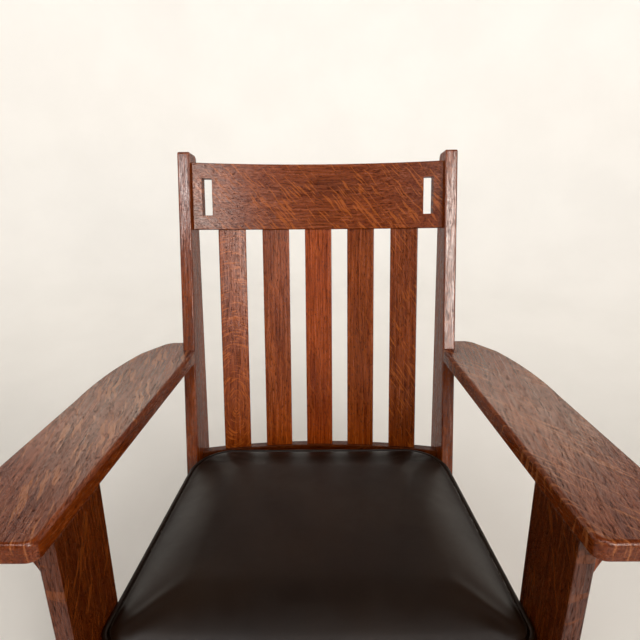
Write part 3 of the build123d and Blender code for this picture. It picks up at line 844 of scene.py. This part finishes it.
mesh, held = cushion_mesh()
cushion = add_piece("seat_cushion", mesh, seat_leather, "seat")
puff(cushion, held, cushion_cap)
mesh.transform(tip)
round_over = cushion.modifiers.new("round_over", "SUBSURF")
round_over.levels = round_over.render_levels = 1
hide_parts("seat_leather", "seat_pad")


# Welt: a cord under leather, in the groove between the top panel and the boxing

welt_side_count = 12
welt_cells_per_cushion_cell = 3
welt_wobble_share = 0.035
welt_wobble_waves = 90


def join_rings(shape, rings):
    """Quads between each ring of vertices and the next."""
    for one, two in zip(rings, rings[1:]):
        for index in range(len(one)):
            after = (index + 1) % len(one)
            shape.faces.new((one[index], one[after], two[after], two[index]))


def closed_tube(points, radius, side_count):
    """Round tube along a closed line of points, with a slight unevenness."""
    shape = bmesh.new()
    rings = []
    for index, point in enumerate(points):
        ahead = (points[(index + 1) % len(points)] - points[index - 1]).normalized()
        across = ahead.cross(Vector((0, 0, 1))).normalized()
        up = across.cross(ahead)
        wobble = 1 + welt_wobble_share * noise.noise(point * welt_wobble_waves)
        ring = []
        for side in range(side_count):
            angle = 2 * math.pi * side / side_count
            out = across * math.cos(angle) + up * math.sin(angle)
            ring.append(shape.verts.new(point + out * radius * wobble))
        rings.append(ring)
    join_rings(shape, rings + rings[:1])
    bmesh.ops.recalc_face_normals(shape, faces=shape.faces)
    mesh = bpy.data.meshes.new("tube")
    shape.to_mesh(mesh)
    shape.free()
    return mesh


welt_across_count = welt_cells_per_cushion_cell * across_cell_count
welt_along_count = welt_cells_per_cushion_cell * along_cell_count
welt_outline = outline(welt_radius, welt_across_count, welt_along_count)
welt_line = [Vector((point.x, point.y, welt_z)) for point in welt_outline]
welt_mesh = closed_tube(welt_line, welt_radius, welt_side_count)
welt_mesh.transform(tip)
welt = add_piece("seat_welt_piping", welt_mesh, welt_leather, "seat")
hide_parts("seat_welt")


# Stage: pale floor that curves up into a backdrop

cove_radius = 0.8
wall_radius = 2.8
wall_top = 3.2
cove_step_count = 16
wall_turn_count = 96
mottle_waves = (3, 3, 3)
mottle_depth = 0.002
floor_shade = tint(233, 231, 227)
floor_pale = tint(237, 235, 231)


def pale_floor():
    """Matt, nearly white paint with a faint mottle."""
    graph = Graph("pale_floor")
    mottle = graph.waves(graph.place(), mottle_waves, detail=4.0)
    colour = graph.mix(graph.span(mottle, low=0.3, high=0.7), floor_shade, floor_pale)
    normal = graph.bump(mottle, strength=0.1, distance=mottle_depth)
    return graph.finish(Base_Color=colour, Roughness=0.85, Normal=normal)


def backdrop():
    """Round pale floor that curves up into a wall on every side."""
    profile = []
    for step in range(cove_step_count + 1):
        angle = quarter_turn * step / cove_step_count
        radius = wall_radius - cove_radius + cove_radius * math.sin(angle)
        profile.append((radius, cove_radius - cove_radius * math.cos(angle)))
    profile.append((wall_radius, wall_top))
    shape = bmesh.new()
    rings = []
    for radius, z in profile:
        ring = []
        for turn in range(wall_turn_count):
            angle = 2 * math.pi * turn / wall_turn_count
            ring.append(shape.verts.new((radius * math.cos(angle), radius * math.sin(angle), z)))
        rings.append(ring)
    shape.faces.new(rings[0])
    join_rings(shape, rings)
    bmesh.ops.recalc_face_normals(shape, faces=shape.faces)
    mesh = bpy.data.meshes.new("backdrop")
    shape.to_mesh(mesh)
    shape.free()
    mesh.shade_smooth()
    mesh.materials.append(pale_floor())
    sheet = bpy.data.objects.new("backdrop", mesh)
    bpy.context.scene.collection.objects.link(sheet)


backdrop()


# Studio lights: watts, metres and the points that they stand at and aim at

left_lamp = {"width": 0.3, "height": 0.25, "power": 2.2}
left_lamp_place = (-0.5, -0.6, 1.27)
left_lamp_target = (-0.2, 0.25, 0.8)
right_lamp = {"width": 0.35, "height": 1.0, "power": 23, "warmth": 0.16}
right_lamp_place = (0.84, -1.75, 1.4)
right_lamp_target = (0.24, 0.25, 0.8)
above_lamp = {"width": 1.2, "height": 1.2, "power": 18}
above_lamp_place = (0.1, -1.05, 2.55)
above_lamp_target = (0, 0.1, 0.6)
sheen_lamp = {"width": 0.8, "height": 0.5, "power": 1.9, "warmth": 0.4}
sheen_lamp_place = (1.07, 1.98, 1.42)
sheen_lamp_target = (0.3, -0.15, 0.6)
wall_lamp = {"width": 1.2, "height": 1.2, "power": 18.5, "spread": math.radians(115)}
wall_lamp_place = (2.3, 0.6, 1.7)
wall_lamp_target = (0.3, 2.8, 1.2)
plain_warmth = 0.04
sky_colour = (0.95, 0.93, 0.89, 1)
sky_strength = 0.1


def softbox(name, place, target, width, height, power, warmth=plain_warmth, spread=math.pi):
    """Rectangular area light aimed at a point."""
    data = bpy.data.lights.new(name, "AREA")
    data.shape = "RECTANGLE"
    data.size = width
    data.size_y = height
    data.energy = power
    data.spread = spread
    data.color = (1.0, 1.0 - warmth / 2, 1.0 - warmth)
    lamp = bpy.data.objects.new(name, data)
    lamp.location = place
    lamp.rotation_euler = (Vector(target) - Vector(place)).to_track_quat("-Z", "Y").to_euler()
    lamp.visible_camera = False
    bpy.context.scene.collection.objects.link(lamp)


def on_side(point, side):
    """A point of the right side (+1), or its mirror image on the left (-1)."""
    x, y, z = point
    return (side * x, y, z)


def studio_sky():
    """Dim, slightly warm light from everywhere."""
    world = bpy.data.worlds.new("studio")
    world.use_nodes = True
    background = world.node_tree.nodes["Background"]
    background.inputs["Color"].default_value = sky_colour
    background.inputs["Strength"].default_value = sky_strength
    return world


softbox("left", left_lamp_place, left_lamp_target, **left_lamp)
softbox("right", right_lamp_place, right_lamp_target, **right_lamp)
softbox("above", above_lamp_place, above_lamp_target, **above_lamp)
for side, word in ((-1, "left"), (1, "right")):
    softbox("sheen_" + word, on_side(sheen_lamp_place, side), on_side(sheen_lamp_target, side), **sheen_lamp)
    softbox("wall_" + word, on_side(wall_lamp_place, side), on_side(wall_lamp_target, side), **wall_lamp)
scene = bpy.context.scene
scene.world = studio_sky()
scene.view_settings.view_transform = "Standard"


# Camera of the photograph, as its straight edges give it

camera_place = (0.0093, -0.6853, 1.0144)
camera_roll = math.radians(0.51)
camera_pan = math.radians(0.20)
camera_dip = math.radians(23.86)
camera_clip = 0.05
sensor_millimetres = 36
lens_millimetres = 31.35


def photo_camera():
    """Camera that stands and aims as the photograph's did."""
    data = bpy.data.cameras.new("camera")
    data.sensor_width = sensor_millimetres
    data.lens = lens_millimetres
    data.clip_start = camera_clip
    camera = bpy.data.objects.new("camera", data)
    aim = Matrix.Rotation(camera_roll, 3, "Y") @ Matrix.Rotation(camera_pan, 3, "Z")
    aim = aim @ Matrix.Rotation(quarter_turn - camera_dip, 3, "X")
    camera.rotation_euler = aim.to_euler()
    camera.location = camera_place
    scene.collection.objects.link(camera)
    return camera


scene.camera = photo_camera()
